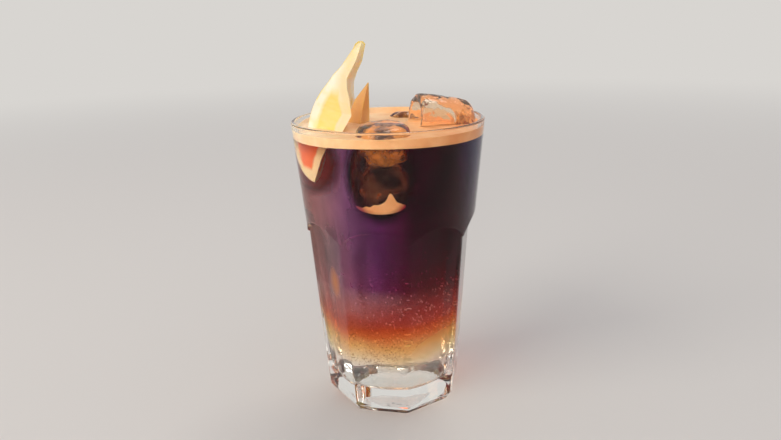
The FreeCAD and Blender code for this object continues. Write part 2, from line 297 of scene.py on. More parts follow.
def wear(piece, *finishes):
    piece.data.materials.clear()
    for finish in finishes:
        piece.data.materials.append(finish)


# %% [markdown]
# ## Camera
# The camera stands a little to the right of the front facet and looks down on
# the drink, at arm's length, with a slight lean.

# %% Camera
CAMERA_BEARING = math.radians(12.1)
CAMERA_DISTANCE = 297.8
CAMERA_HEIGHT = 172.6
CAMERA_PITCH = 0.2943
CAMERA_ROLL = -0.0275
camera = bpy.data.objects.new("camera", bpy.data.cameras.new("camera"))
camera.data.lens = 31.62
camera.data.clip_start = 0.01
across = Vector((math.cos(CAMERA_BEARING), math.sin(CAMERA_BEARING), 0))
inward = Vector((-math.sin(CAMERA_BEARING), math.cos(CAMERA_BEARING), 0))
view_line = inward * math.cos(CAMERA_PITCH) - Vector((0, 0, math.sin(CAMERA_PITCH)))
upright = across.cross(view_line)
right = across * math.cos(CAMERA_ROLL) + upright * math.sin(CAMERA_ROLL)
up = upright * math.cos(CAMERA_ROLL) - across * math.sin(CAMERA_ROLL)
stand = Vector(on_circle(CAMERA_DISTANCE, CAMERA_HEIGHT, CAMERA_BEARING)) * MM
turn = Matrix((right, up, -view_line)).transposed().to_4x4()
camera.matrix_world = Matrix.Translation(stand) @ turn
SHOWN.link(camera)
bpy.context.scene.camera = camera
print("camera at", [round(v, 3) for v in stand])

# %% [markdown]
# ## Studio
# A wide pale floor and an even dome of light keep the colours true. Two soft
# boxes light it from the left and the front, and one behind gives the far rim
# its edge. The camera, mirror rays and rays through glass see one pale backdrop,
# and the far floor fades into it. All other rays meet the plain floor and dome,
# so the backdrop puts no light on the glass.

# %% Rays that show the backdrop
def sees_backdrop(tree):
    """1 for camera rays, mirror rays and rays through glass, and 0 for all others."""
    path = node(tree, "LightPath")
    direct = node(tree, "Math", {
        0: path.outputs["Is Camera Ray"], 1: path.outputs["Is Transmission Ray"]},
        operation="MAXIMUM")
    shown = node(tree, "Math", {0: direct, 1: path.outputs["Is Glossy Ray"]}, operation="MAXIMUM")
    return shown.outputs[0]


# %% Floor
# matt background paper: a soft shadow and no shine; it fades out between these metres
FADE_STARTS = 0.35
FADE_ENDS = 1.6
bpy.ops.object.select_all(action="DESELECT")
bpy.ops.mesh.primitive_circle_add(
    vertices=96, radius=30, fill_type="NGON", location=(0, 0, -0.2 * MM))
floor = bpy.context.object
floor.name = "floor"
paper, tree = new_finish("matt_paper_floor")
sheet = node(tree, "BsdfPrincipled", {
    "Base Color": linear("d6d3cf"), "Roughness": 0.9, "Specular IOR Level": 0.1})
place = node(tree, "TexCoord").outputs["Object"]
away = node(tree, "VectorMath", {0: place}, operation="LENGTH")
far = node(tree, "MapRange", {
    "Value": away.outputs["Value"], "From Min": FADE_STARTS, "From Max": FADE_ENDS},
    interpolation_type="SMOOTHSTEP")
horizon = node(tree, "Emission", {"Color": linear("d8d5d1"), "Strength": 1.0})
faded = node(tree, "Math", {0: far, 1: sees_backdrop(tree)}, operation="MULTIPLY")
sweep = node(tree, "MixShader", {0: faded, 1: sheet, 2: horizon})
node(tree, "OutputMaterial", {"Surface": sweep})
wear(floor, paper)

# %% Light
world = bpy.data.worlds.new("studio")
world.use_nodes = True
bpy.context.scene.world = world
tree = world.node_tree
tree.nodes.clear()
dome = node(tree, "Background", {"Color": linear("f4f6ff"), "Strength": 0.5})
backdrop = node(tree, "Background", {"Color": linear("d8d5d1"), "Strength": 1.0})
both = node(tree, "MixShader", {0: sees_backdrop(tree), 1: dome, 2: backdrop})
node(tree, "OutputWorld", {"Surface": both})


def soft_box(name, bearing, distance, level, width, height, power, colour):
    """A soft box on a stand, turned to the middle of the glass; lengths in metres."""
    lamp = bpy.data.lights.new(name, "AREA")
    lamp.shape = "RECTANGLE"
    lamp.size, lamp.size_y = width, height
    lamp.energy = power
    lamp.color = linear(colour)[:3]
    stand = bpy.data.objects.new(name, lamp)
    stand.location = Vector(on_circle(distance, level, math.radians(bearing)))
    aim = Vector((0, 0, 0.08)) - stand.location
    stand.rotation_euler = aim.to_track_quat("-Z", "Y").to_euler()
    SHOWN.link(stand)


soft_box("key_left", -45, 1.6, 1.1, 1.2, 1.2, 20.0, "fff6ea")
soft_box("fill_front", 15, 2.2, 0.6, 1.2, 0.8, 12.0, "fff6ee")
soft_box("back_top", 165, 0.9, 1.7, 0.8, 0.5, 7.0, "fffaf2")
scene = bpy.context.scene
scene.view_settings.view_transform = "Standard"
scene.cycles.use_denoising = True
scene.cycles.max_bounces = 24
scene.cycles.transmission_bounces = 24
scene.cycles.transparent_max_bounces = 24
scene.cycles.glossy_bounces = 8
scene.cycles.diffuse_bounces = 6

# %% [markdown]
# ## Pressed glass
# Soda-lime glass, pressed and fire-polished: perfectly clear, smooth, with soft
# ridges. It bends light by about 1.5. Lamp light is let straight through, so
# that the drink inside is lit as softly as it is in real life.

# %% Glass finish
def clear_finish(name, colour, bend_index, gloss, roughness=0.0, ripple=0, ripple_size=4.0,
                 shade="ffffff"):
    """A clear dielectric that lets lamp light straight through; gloss 0.5 is a dry surface."""
    material, tree = new_finish(name)
    body = node(tree, "BsdfPrincipled", {
        "Base Color": linear(colour), "Roughness": roughness, "IOR": bend_index,
        "Specular Tint": (2 * gloss, 2 * gloss, 2 * gloss, 1), "Transmission Weight": 1.0})
    if ripple:
        place = node(tree, "TexCoord").outputs["Object"]
        waves = node(tree, "TexNoise", {
            "Vector": place, "Scale": 1 / (ripple_size * MM), "Detail": 1.0})
        bump = node(tree, "Bump", {
            "Height": waves.outputs["Fac"], "Strength": 1.0, "Distance": ripple * MM})
        tree.links.new(bump.outputs[0], body.inputs["Normal"])
    path = node(tree, "LightPath")
    pane = node(tree, "BsdfTransparent", {"Color": linear(shade)})
    mixed = node(tree, "MixShader", {0: path.outputs["Is Shadow Ray"], 1: body, 2: pane})
    node(tree, "OutputMaterial", {"Surface": mixed})
    return material, tree, body


# soda-lime glass, pressed and fire-polished: clear, with a slow ripple from the mould
pressed_glass = clear_finish("pressed_soda_lime_glass", "fdfffe", 1.5, 0.16, 0.0, 0.02, 7.0)[0]
# the same glass where drink wets it: almost no reflection is left on the inside
wetted_glass = clear_finish(
    "soda_lime_glass_wetted_by_drink", "fdfffe", 1.5, 0.05, 0.0, 0.05, 3.0)[0]

# %% [markdown]
# ## The tumbler
# The skin starts at the middle of the foot, goes out under it, up the facets,
# over the arches to the lip, and down inside to the floor. Rings below an arch
# follow its curve, so the ledge stays crisp without a very fine mesh.

# %% Model the tumbler
COLUMNS = 32 * FACETS
LIP_ROUND = 1.0
FOOT_STATIONS = [0, 6, 12, 16, PUNT_RADIUS - PUNT_DEPTH, PUNT_RADIUS, 22.5]
WALL_SHARES = [i / 24 for i in range(25)]
LEDGE_SHARES = [-0.8, -0.4, -0.15, 0.0, 0.2, 0.4, 0.6, 0.8, 1.0, 1.2, 1.6]
BAND_SHARES = [(i + 1) / 16 for i in range(16)]
LIP_STEPS = 6
INNER_LEVELS = [ARCH_PEAK + 30, ARCH_PEAK + 15, ARCH_PEAK + 4, ARCH_PEAK, ARCH_PEAK - 4,
                60, 40, 25, FLOOR_LEVEL + FLOOR_FILLET]
FILLET_STEPS = 8
FLOOR_STATIONS = [0.75, 0.5, 0.25, 0]


def foot_point(radius, bearing):
    if radius <= PUNT_RADIUS - PUNT_DEPTH:
        return on_circle(radius, PUNT_DEPTH, bearing)
    return on_circle(radius, 0, bearing)


def ledge_height(bearing):
    """How far the ledge rises from the arch's edge to the round band."""
    edge = arch_level(bearing)
    depth = band_radius(edge) / ridge_factor(bearing) - facet_distance(edge)
    return max(depth, 0.3) * math.tan(LEDGE_SLOPE)


def wall_point(share, bearing):
    """Up the facet, from the foot to just under the arch."""
    top = arch_level(bearing) - 0.8 * ledge_height(bearing)
    level = blend(0, CHAMFER_UP, share * 6) if share < 1 / 6 else \
        blend(CHAMFER_UP, top, (share - 1 / 6) * 6 / 5)
    return on_circle(outer_radius(bearing, level), level, bearing)


def ledge_point(share, bearing):
    level = arch_level(bearing) + share * ledge_height(bearing)
    return on_circle(outer_radius(bearing, level), level, bearing)


def band_point(share, bearing):
    start = arch_level(bearing) + LEDGE_SHARES[-1] * ledge_height(bearing)
    level = blend(start, GLASS_HEIGHT - LIP_ROUND, share)
    return on_circle(outer_radius(bearing, level), level, bearing)


def lip_point(step, bearing, inside):
    """Two quarter rounds make the lip, one outside and one inside."""
    angle = (step + 1) / LIP_STEPS * math.pi / 2
    if inside:
        angle = math.pi / 2 - step / LIP_STEPS * math.pi / 2
        radius = RIM_RADIUS - LIP_WALL + LIP_ROUND - LIP_ROUND * math.cos(angle)
    else:
        radius = RIM_RADIUS - LIP_ROUND + LIP_ROUND * math.cos(angle)
    return on_circle(radius, GLASS_HEIGHT - LIP_ROUND + LIP_ROUND * math.sin(angle), bearing)


def fillet_point(step, bearing, grow=0.0):
    """The round between the inner wall and the floor."""
    angle = step / FILLET_STEPS * math.pi / 2
    radius = inner_radius(FLOOR_LEVEL) - FLOOR_FILLET + (FLOOR_FILLET + grow) * math.cos(angle)
    level = FLOOR_LEVEL + FLOOR_FILLET - (FLOOR_FILLET + grow) * math.sin(angle)
    return on_circle(radius, level, bearing)


def floor_point(share, bearing, grow=0.0):
    radius = (inner_radius(FLOOR_LEVEL) - FLOOR_FILLET) * share
    return on_circle(radius, FLOOR_LEVEL - grow, bearing)


stations = [(foot_point, radius) for radius in FOOT_STATIONS]
stations += [(wall_point, share) for share in WALL_SHARES]
stations += [(ledge_point, share) for share in LEDGE_SHARES]
stations += [(band_point, share) for share in BAND_SHARES]
stations += [(lambda step, bearing: lip_point(step, bearing, False), step)
             for step in range(LIP_STEPS)]
stations += [(lambda step, bearing: lip_point(step, bearing, True), step)
             for step in range(LIP_STEPS + 1)]
stations += [(lambda level, bearing: on_circle(inner_radius(level), level, bearing), level)
             for level in INNER_LEVELS]
stations += [(fillet_point, step) for step in range(1, FILLET_STEPS + 1)]
stations += [(floor_point, share) for share in FLOOR_STATIONS]


def tumbler_point(ring, bearing):
    shape, where = stations[ring]
    return shape(where, bearing)


tumbler = skin("tumbler", len(stations), COLUMNS, tumbler_point)
smooth(tumbler, 40)
wear(tumbler, pressed_glass, wetted_glass)
for face in tumbler.data.polygons:
    level = face.center.z / MM
    out = math.hypot(face.center.x, face.center.y) / MM
    inside = out < inner_radius(level) + 0.3 and level > FLOOR_LEVEL - 0.01
    face.material_index = int(inside and level < FOAM_TOP)
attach(tumbler, "root")
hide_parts("glass")
print("tumbler faces:", len(tumbler.data.polygons))

# %% [markdown]
# ## Ice
# Bar ice is clear and its edges are melted round. The frame's solids have the
# right places and hollows but sharp, perfect faces. A copy is remeshed into even
# quads, smoothed, and pushed about by a soft noise, as melting does.

# %% Ice finish
# roughness, then the depth and the width in millimetres of the dimples that melting leaves
MELTED_SKIN = (0.02, 0.12, 2.5)
# bar ice, frozen slowly in a mould: clear, with wet glints
clear_ice = clear_finish("clear_bar_ice", "fcfeff", 1.31, 0.5, *MELTED_SKIN)[0]
# the same ice under the drink, where it loses its glints
sunk_ice = clear_finish("clear_bar_ice_in_the_drink", "fcfeff", 1.31, 0.05, *MELTED_SKIN)[0]
# ice that crema has washed over: a thin tan film dims it
tan_ice, _, tan_body = clear_finish("bar_ice_wet_with_crema", "fbe2c4", 1.31, 0.5, *MELTED_SKIN)
tan_body.inputs["Transmission Weight"].default_value = 0.93

# %% Model the ice
MELT = bpy.data.textures.new("melt", "CLOUDS")
MELT.noise_scale = 6 * MM


def copy_of_node(name, new_name):
    """A merged copy of a frame solid as a new piece."""
    mesh = frame["nodes"][name].data.copy()
    piece = bpy.data.objects.new(new_name, mesh)
    mesh.name = new_name
    mesh.materials.clear()
    SHOWN.link(piece)
    pick(piece)
    edit_all()
    bpy.ops.mesh.remove_doubles(threshold=0.001 * MM)
    leave_edit()
    return piece


def modify(piece, kind, **settings):
    """Add a modifier, set it and apply it."""
    bpy.context.view_layer.objects.active = piece
    modifier = piece.modifiers.new(kind.lower(), kind)
    for name, value in settings.items():
        setattr(modifier, name, value)
    bpy.ops.object.modifier_apply(modifier=modifier.name)


ice_pieces = []
for name in ("ice_front", "ice_right", "ice_back"):
    cube = copy_of_node(name, name + "_cube")
    modify(cube, "REMESH", mode="VOXEL", voxel_size=0.6 * MM)
    modify(cube, "SMOOTH", factor=0.8, iterations=6)
    modify(cube, "DISPLACE", texture=MELT, strength=1.1 * MM, mid_level=0.6)
    bpy.ops.object.shade_smooth()
    wear(cube, clear_ice if name == "ice_back" else tan_ice, sunk_ice)
    for face in cube.data.polygons:
        face.material_index = int(face.center.z / MM < FOAM_TOP - 1)
    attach(cube, "root")
    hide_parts(name)
    ice_pieces.append(cube)
    print(name, "faces:", len(cube.data.polygons))

# %% [markdown]
# ## Clouds in the ice
# Ice freezes from outside in and pushes its air to the middle, where it stays as
# a white cloud of tiny bubbles. Each cloud is a ball pushed out of round by a
# noise, and wisps of alpha break up its edge. The stain is a cloud as well: it
# lies half in the front cube and half in the coffee that fills its hollow.

# %% Cloud finish
def cloud_finish(name, colour, low, high, size):
    material, tree = new_finish(name)
    place = node(tree, "TexCoord").outputs["Object"]
    wisps = node(tree, "TexNoise", {"Vector": place, "Scale": 1 / (size * MM), "Detail": 4.0})
    cover = node(tree, "MapRange", {
        "Value": wisps.outputs["Fac"], "From Min": low, "From Max": high})
    air = node(tree, "BsdfPrincipled", {
        "Base Color": linear(colour), "Roughness": 0.8, "Alpha": cover})
    node(tree, "OutputMaterial", {"Surface": air})
    return material


# air frozen into ice: a broken white haze, with painted light in its colour: the amber of light
# that comes through the coffee round it
frozen_air_painted_amber = cloud_finish("frozen_in_air_painted_amber_light", "d08c3c", 0.40, 0.66, 5.0)
# ice steeped in coffee: brown wisps that darken the cube from within
steeped_ice = cloud_finish("ice_steeped_in_coffee", "8a4e2a", 0.40, 0.72, 7.0)

# %% Where each cube stands
# bearing, distance out, level of its mouth, tilt and the bearing it leans to
ICE_STANDS = {
    "ice_front": (7.3, 21.2, 97.0, 7.0, 7.3),
    "ice_right": (104.6, 11.55, 127.0, 97.0, 116.1),
    "ice_back": (176.0, 22.8, 97.7, 11.7, 169.5),
}


def ice_matrix(name):
    """Turns a point of a cube, its mouth at the origin and its crown up, to its place."""
    bearing, out, level, tilt, lean = ICE_STANDS[name]
    lean = math.radians(lean)
    axis = Vector((math.cos(lean), math.sin(lean), 0))
    stand = Matrix.Translation(on_circle(out, level, math.radians(bearing)))
    return stand @ Matrix.Rotation(math.radians(tilt), 4, axis)


# %% Model the clouds
def model_cloud(cube, new_name, middle, reach, finish):
    bpy.ops.object.select_all(action="DESELECT")
    bpy.ops.mesh.primitive_ico_sphere_add(subdivisions=5, radius=1)
    cloud = bpy.context.object
    cloud.name = cloud.data.name = new_name
    for vertex in cloud.data.vertices:
        swell = 1 + 0.35 * noise.noise(vertex.co * 1.7 + Vector(middle))
        vertex.co = Vector([m + v * r * swell for m, v, r in zip(middle, vertex.co, reach)])
    cloud.data.transform(Matrix.Scale(MM, 4) @ ice_matrix(cube))
    smooth(cloud, 60)
    wear(cloud, finish)
    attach(cloud, "root")


model_cloud("ice_front", "ice_front_cloud", (0, 0, 23), (9.0, 9.0, 6.2), frozen_air_painted_amber)
model_cloud("ice_front", "ice_front_stain", (0, 0, 9), (10.2, 10.2, 10.5), steeped_ice)
model_cloud("ice_right", "ice_right_cloud", (0, 0, 21), (4.5, 4.5, 2.2), frozen_air_painted_amber)
model_cloud("ice_back", "ice_back_cloud", (0, 0, 25), (6.5, 6.5, 3.0), frozen_air_painted_amber)

# %% [markdown]
# ## The drink
# Tonic is heavier with sugar, so it stays below while espresso floats over it and
# bleeds down. It is one body of liquid, so it is one piece. Coffee takes away
# blue first, then green, then red: thin coffee is straw yellow, then orange, then
# red brown, then black. A Volume Absorption whose density falls towards the foot
# gives these depths. The drink's colour and haze add the rest by place: what the
# mix scatters low down, and across the dark upper part a painted reflection cast
# of mauve to blue, with more haze on the left where the key light falls.

# %% Where the drink is thin
# melting ice and the lemon thin the coffee round the first two; the third, low on the left, is a
# painted amber glow of light refracted through the left facet: middle, reach and what is left of
# it
THIN_SPOTS = [((-28, -23, 118), (24, 24, 20), 0.04), ((4, -34, 112), (16, 16, 24), 0.1),
              ((-22, -27, 58), (8, 8, 15), 0.4)]
# share of 100 mm up the glass, and share of the full strength there
COFFEE_BY_LEVEL = [(0.12, 0.0), (0.80, 1.0), (0.18, 0.02), (0.21, 0.04), (0.25, 0.06),
                   (0.29, 0.08), (0.34, 0.12), (0.39, 0.165), (0.44, 0.23), (0.50, 0.37),
                   (0.56, 0.5), (0.66, 0.7)]


def greys(*stops):
    """Ramp stops from pairs of a position and a share."""
    return [(position, (part, part, part, 1)) for position, part in stops]


def swatches(*stops):
    """Ramp stops from pairs of a position and a hex value."""
    return [(position, linear(swatch)) for position, swatch in stops]


def coffee_by_place(tree, place, parts):
    """Nodes for the height, the coffee's strength, and what each thin spot leaves of it."""
    swirl = node(tree, "TexNoise", {"Vector": place, "Scale": 1 / (22 * MM), "Detail": 2.0})
    sway = node(tree, "MapRange", {
        "Value": swirl.outputs["Fac"], "To Min": -4 * MM, "To Max": 4 * MM})
    level = node(tree, "Math", {0: parts.outputs["Z"], 1: sway}, operation="ADD")
    rise = node(tree, "MapRange", {"Value": level, "From Min": 0.0, "From Max": 100 * MM})
    strength = node(tree, "ValToRGB", {"Fac": rise}, stops=greys(*COFFEE_BY_LEVEL))
    dilution = node(tree, "MapRange", {
        "Value": parts.outputs["X"], "From Min": -34 * MM, "From Max": 8 * MM,
        "To Min": 0.55, "To Max": 1.0})
    thinned = node(tree, "Math", {0: strength, 1: dilution}, operation="MULTIPLY")
    shares = []
    for spot, spread, left in THIN_SPOTS:
        near = node(tree, "Mapping", {"Vector": place, "Location": Vector(spot) * MM,
            "Scale": Vector(spread) * MM}, vector_type="TEXTURE")
        ball = node(tree, "TexGradient", {"Vector": near}, gradient_type="SPHERICAL")
        share = node(tree, "MapRange", {
            "Value": ball.outputs["Fac"], "From Max": 0.35, "To Min": 1.0, "To Max": left})
        shares.append(share)
        thinned = node(tree, "Math", {0: thinned, 1: share}, operation="MULTIPLY")
    return rise, thinned, shares


# %% Colour and haze of the drink
def dimmed(tree, value, shares, low, high):
    """A value faded out where the drink is thin."""
    for share in shares:
        kept = node(tree, "MapRange", {"Value": share, "From Min": low, "From Max": high})
        value = node(tree, "Math", {0: value, 1: kept}, operation="MULTIPLY")
    return value


def drink_colour(tree, rise, across, deep, shares):
    """Straw to red brown low down; above it a painted reflection cast of amber, mauve, plum and
    blue across the glass.
    """
    # painted reflection: across the upper drink the near-black brown takes the colours of
    # reflected surroundings, blue at the far right
    painted_reflection_cast = node(tree, "ValToRGB", {"Fac": across}, stops=swatches(
        (0.06, "b4603c"), (0.96, "4a2ab0"), (0.14, "a8605c"), (0.24, "b07c88"),
        (0.38, "94588a"), (0.52, "8a3684"), (0.70, "9a1a58"), (0.88, "90183c")))
    low_tone = node(tree, "ValToRGB", {"Fac": rise}, stops=swatches(
        (0.20, "ffffff"), (0.46, "b84a38"), (0.26, "fff0bc"), (0.32, "ffd67c"),
        (0.38, "ee8c44")))
    tinted = dimmed(tree, deep, shares, 0.1, 0.4)
    upper = node(tree, "Mix", {"Factor": tinted, 6: linear("ffffff"), 7: painted_reflection_cast}, data_type="RGBA")
    return node(tree, "Mix", {"Factor": deep, 6: low_tone, 7: upper.outputs[2]}, data_type="RGBA")


def drink_haze(tree, place, rise, across, deep, shares):
    """Share of light that the drink scatters instead of letting through."""
    # painted light: across the upper part the haze is strongest left of the middle, where the key
    # light falls, and faint on the right
    high = node(tree, "ValToRGB", {"Fac": across}, stops=greys(
        (0.06, 0.3), (0.96, 0.16), (0.16, 0.4), (0.30, 0.46), (0.5, 0.28), (0.72, 0.08),
        (0.88, 0.06)))
    stretched = node(tree, "Mapping", {"Vector": place, "Scale": (1.0, 1.0, 0.3)})
    wisps = node(tree, "TexNoise", {"Vector": stretched, "Scale": 1 / (9 * MM), "Detail": 3.0})
    wisps = node(tree, "MapRange", {
        "Value": wisps.outputs["Fac"], "From Min": 0.3, "From Max": 0.7, "To Min": 0.45,
        "To Max": 1.35})
    high = node(tree, "Math", {0: high, 1: wisps}, operation="MULTIPLY")
    high = dimmed(tree, high, shares, 0.3, 0.85)
    low = node(tree, "ValToRGB", {"Fac": rise}, stops=greys(
        (0.17, 0.0), (0.46, 0.10), (0.25, 0.45), (0.38, 0.30)))
    cloudy = node(tree, "ValToRGB", {"Fac": across}, stops=greys(
        (0.1, 0.7), (0.8, 1.0), (0.45, 0.4)))
    low = node(tree, "Math", {0: low, 1: cloudy}, operation="MULTIPLY")
    return node(tree, "Mix", {"Factor": deep, 2: low, 3: high})


# %% Drink finish
# what a layer of coffee lets through of red, green and blue: a measure, not a swatch
COFFEE_PASSES = (0.89, 0.34, 0.02, 1)
COFFEE_STRENGTH = 620.0


def drink_finish():
    # coffee poured over tonic: clear and straw below, near black above, hazy where they mix
    material, tree, body = clear_finish(
        "espresso_over_tonic", "ffffff", 1.333, 0.05, shade="d9c0a8")
    place = node(tree, "TexCoord").outputs["Object"]
    parts = node(tree, "SeparateXYZ", {0: place})
    rise, thinned, shares = coffee_by_place(tree, place, parts)
    density = node(tree, "Math", {0: thinned, 1: COFFEE_STRENGTH}, operation="MULTIPLY")
    stain = node(tree, "VolumeAbsorption", {"Color": COFFEE_PASSES, "Density": density})
    output = next(n for n in tree.nodes if n.type == "OUTPUT_MATERIAL")
    tree.links.new(stain.outputs[0], output.inputs["Volume"])
    across = node(tree, "MapRange", {
        "Value": parts.outputs["X"], "From Min": -40 * MM, "From Max": 40 * MM})
    deep = node(tree, "MapRange", {"Value": rise, "From Min": 0.42, "From Max": 0.60})
    colour = drink_colour(tree, rise, across, deep, shares[:2])
    haze = drink_haze(tree, place, rise, across, deep, shares[:2])
    # painted light: the third spot gets an amber colour and more haze, a painted glow of light
    # refracted through the left facet
    painted_refraction_glow = node(tree, "MapRange", {
        "Value": shares[2].outputs[0], "From Min": 0.9, "From Max": 0.5})
    colour = node(tree, "Mix", {"Factor": painted_refraction_glow, 6: colour.outputs[2], 7: linear("d88a48")},
        data_type="RGBA")
    haze = node(tree, "Mix", {"Factor": painted_refraction_glow, 2: haze, 3: 0.55})
    clarity = node(tree, "Math", {0: 1.0, 1: haze}, operation="SUBTRACT")
    tree.links.new(colour.outputs[2], body.inputs["Base Color"])
    tree.links.new(clarity.outputs[0], body.inputs["Transmission Weight"])
    return material


espresso_tonic = drink_finish()
espresso_tonic.cycles.volume_step_rate = 0.2

# %% Model the drink
# the drink and foam reach this far into the wall, so that no air gap shows
REACH = 0.15
FLOOR_RINGS = 4
TOP_RINGS = 6
drink_levels = [FLOOR_LEVEL + FLOOR_FILLET, 20, 30, 45, 60, 75, ARCH_PEAK - 3, ARCH_PEAK,
                ARCH_PEAK + 3, 100, 112, FOAM_BOTTOM + 1.0]


def drink_point(ring, bearing):
    """Floor from the middle, fillet, wall, and the flat top back to the middle."""
    if ring < FLOOR_RINGS:
        return floor_point(ring / FLOOR_RINGS, bearing, REACH)
    ring -= FLOOR_RINGS
    if ring < FILLET_STEPS:
        return fillet_point(FILLET_STEPS - ring, bearing, REACH)
    ring -= FILLET_STEPS
    if ring < len(drink_levels):
        level = drink_levels[ring]
        return on_circle(inner_radius(level) + REACH, level, bearing)
    share = 1 - (ring + 1 - len(drink_levels)) / TOP_RINGS
    return on_circle((inner_radius(drink_levels[-1]) + REACH) * share, drink_levels[-1], bearing)


drink_rings = FLOOR_RINGS + FILLET_STEPS + len(drink_levels) + TOP_RINGS
drink = skin("espresso_tonic", drink_rings, 128, drink_point)


def cut_out(piece, others, overlap):
    """Cut others out of a piece, each shrunk a little so that the two overlap."""
    for other in others:
        cutter = other.copy()
        cutter.data = other.data.copy()
        SHOWN.link(cutter)
        modify(cutter, "DISPLACE", strength=-overlap * MM, mid_level=0.0)
        modify(piece, "BOOLEAN", object=cutter, operation="DIFFERENCE", solver="MANIFOLD")
        bpy.data.objects.remove(cutter)


cut_out(drink, ice_pieces, REACH)
smooth(drink, 30)
wear(drink, espresso_tonic)
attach(drink, "root")
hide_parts("tonic", "espresso")
print("drink faces:", len(drink.data.polygons))

# %% [markdown]
# ## Crema
# Crema is a fine tan foam. It scatters light inside itself, so it looks soft and
# a little lit from within. Under its skin the bubbles grow, and its lower edge
# wanders where it meets the coffee.

# %% Crema finish
def crema_finish():
    material, tree = new_finish("crema_foam")
    place = node(tree, "TexCoord").outputs["Object"]
    patches = node(tree, "TexNoise", {"Vector": place, "Scale": 1 / (9 * MM), "Detail": 4.0})
    parts = node(tree, "SeparateXYZ", {0: place})
    across = node(tree, "MapRange", {
        "Value": parts.outputs["X"], "From Min": -40 * MM, "From Max": 40 * MM})
    # painted light across the foam: both ramps are lighter on the left, where the key light falls,
    # and darker and more orange on the right; settled and fresh foam mix at random by the patches
    settled = node(tree, "ValToRGB", {"Fac": across}, stops=[
        (0.05, linear("ffd8aa")), (0.9, linear("ea9a5e")), (0.5, linear("f0b074"))])
    fresh = node(tree, "ValToRGB", {"Fac": across}, stops=[
        (0.05, linear("ffeed0")), (0.9, linear("f6b47a")), (0.5, linear("ffcc94"))])
    share = node(tree, "MapRange", {
        "Value": patches.outputs["Fac"], "From Min": 0.35, "From Max": 0.7})
    colour = node(tree, "Mix", {"Factor": share, 6: settled, 7: fresh}, data_type="RGBA")
    froth = node(tree, "TexVoronoi", {"Vector": place, "Scale": 1 / (0.9 * MM)})
    bump = node(tree, "Bump", {
        "Height": froth.outputs["Distance"], "Strength": 0.6, "Distance": 0.25 * MM}, invert=True)
    foam = node(tree, "BsdfPrincipled", {
        "Base Color": colour.outputs[2], "Roughness": 0.55, "Normal": bump,
        "Subsurface Weight": 0.15, "Subsurface Radius": (1.0, 0.6, 0.4),
        "Subsurface Scale": 2 * MM})
    node(tree, "OutputMaterial", {"Surface": foam})
    return material


crema_foam = crema_finish()

# %% Model the crema
SURFACE = FOAM_TOP - 0.6
MENISCUS = 1.6
# rings of the foam's skin: under it, up the wall, down the meniscus, over the top
UNDER_RINGS = 8
WALL_RINGS = 6
MENISCUS_RINGS = 6
SURFACE_RINGS = 16


def underside(bearing):
    """Lower edge of the foam, which wanders round the glass."""
    spot = Vector((math.sin(bearing), math.cos(bearing), 0)) * 1.6
    return FOAM_BOTTOM + 0.15 + 0.5 * noise.noise(spot)


def film_top(bearing):
    """The foam leaves a film on the far wall that climbs nearly to the lip."""
    far = min(max(-math.cos(bearing - math.radians(10)) * 1.6, 0), 1)
    return blend(FOAM_TOP, GLASS_HEIGHT - 0.8, far)


def crema_point(ring, bearing):
    """Under the foam, up the wall, down the meniscus and over the top to the middle."""
    if ring < UNDER_RINGS:
        level = underside(bearing) if ring else FOAM_BOTTOM
        share = ring / UNDER_RINGS
        radius = inner_radius(level) * ring / UNDER_RINGS
        return on_circle(radius, blend(FOAM_BOTTOM, level, share ** 3), bearing)
    ring -= UNDER_RINGS
    if ring < WALL_RINGS:
        level = blend(underside(bearing), film_top(bearing), ring / (WALL_RINGS - 1))
        return on_circle(inner_radius(level) + REACH + 0.05, level, bearing)
    ring -= WALL_RINGS
    if ring < MENISCUS_RINGS:
        share = (ring + 1) / MENISCUS_RINGS
        level = blend(film_top(bearing), SURFACE, 1 - (1 - share) ** 2)
        return on_circle(inner_radius(FOAM_TOP) - MENISCUS * share, level, bearing)
    share = (ring + 1 - MENISCUS_RINGS) / SURFACE_RINGS
    radius = (inner_radius(FOAM_TOP) - MENISCUS) * (1 - share)
    spot = Vector(on_circle(radius, 0, bearing)) / 7
    return on_circle(radius, SURFACE + 0.25 * noise.noise(spot) * min(radius / 4, 1), bearing)


crema_rings = UNDER_RINGS + WALL_RINGS + MENISCUS_RINGS + SURFACE_RINGS
crema = skin("crema_layer", crema_rings, 160, crema_point)
cut_out(crema, ice_pieces, 0.1)
smooth(crema, 40)
wear(crema, crema_foam)
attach(crema, "root")
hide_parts("crema")
print("crema faces:", len(crema.data.polygons))

# %% [markdown]
# ## Foam round the ice
# Foam clings to the sides of floating ice. Under the lying cube it makes a bed:
# a copy of the cube, a little larger, cut off at the surface and hollowed by the
# cube itself. Under the front cube a crescent of foam is caught in the mouth.

# %% Model the foam bed
def model_bed(cube, new_name, thick):
    bed = bpy.data.objects.new(new_name, cube.data.copy())
    bed.data.name = new_name
    SHOWN.link(bed)
    modify(bed, "REMESH", mode="VOXEL", voxel_size=0.8 * MM)
    modify(bed, "DISPLACE", strength=thick * MM, mid_level=0.0)
    pick(bed)
    edit_all()
    bpy.ops.mesh.bisect(plane_co=(0, 0, (SURFACE + 0.3) * MM), plane_no=(0, 0, 1),
                        clear_outer=True, use_fill=True)
    bpy.ops.mesh.select_all(action="SELECT")
    bpy.ops.mesh.bisect(plane_co=(0, 0, (FOAM_BOTTOM + 1.2) * MM), plane_no=(0, 0, 1),
                        clear_inner=True, use_fill=True)
    leave_edit()
    cut_out(bed, [cube], 0.1)
    smooth(bed, 40)
    wear(bed, crema_foam)
    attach(bed, "root")
    print(new_name, "faces:", len(bed.data.polygons))


model_bed(ice_pieces[1], "foam_bed_right", 1.0)

